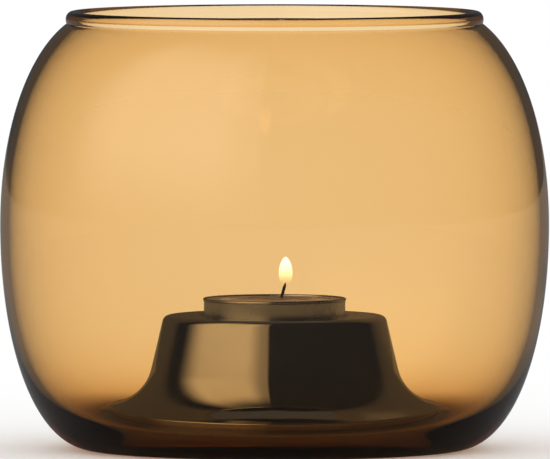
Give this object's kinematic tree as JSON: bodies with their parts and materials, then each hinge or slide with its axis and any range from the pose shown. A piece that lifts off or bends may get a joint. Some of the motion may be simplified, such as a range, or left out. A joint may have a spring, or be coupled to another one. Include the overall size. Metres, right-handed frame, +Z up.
{
  "type": "tealight holder",
  "caption": "Rounded amber glass bowl, open at the top, with a loose polished steel insert that lifts out and carries a tealight in a pocket.",
  "frame": {"origin": "centre of the underside, on the surface the bowl stands on", "axes": "+Z up along the axis of turning; X and Y are alike, and the wick leans towards +X"},
  "size_m": [0.144, 0.144, 0.115],
  "materials": {
    "amber_glass": "clear, coloured through, polished",
    "polished_steel": "mirror polished",
    "cup_foil": "drawn foil, satin",
    "wax": "waxy, slightly translucent",
    "tab_steel": "thin tinned sheet",
    "wick_cotton": "charred braid"
  },
  "bodies": {
    "bowl": {"glass_bowl": "amber_glass"},
    "insert": {"steel_insert": "polished_steel"},
    "tealight": {"tealight_cup": "cup_foil", "tealight_wax": "wax", "wick_tab": "tab_steel", "wick": "wick_cotton"}
  },
  "joints": [
    {"name": "insert_lift", "type": "slide", "parent": "bowl", "child": "insert", "axis": [0, 0, 1], "range_m": [0, 0.125]},
    {"name": "tealight_lift", "type": "slide", "parent": "insert", "child": "tealight", "axis": [0, 0, 1], "range_m": [0, 0.105]}
  ]
}
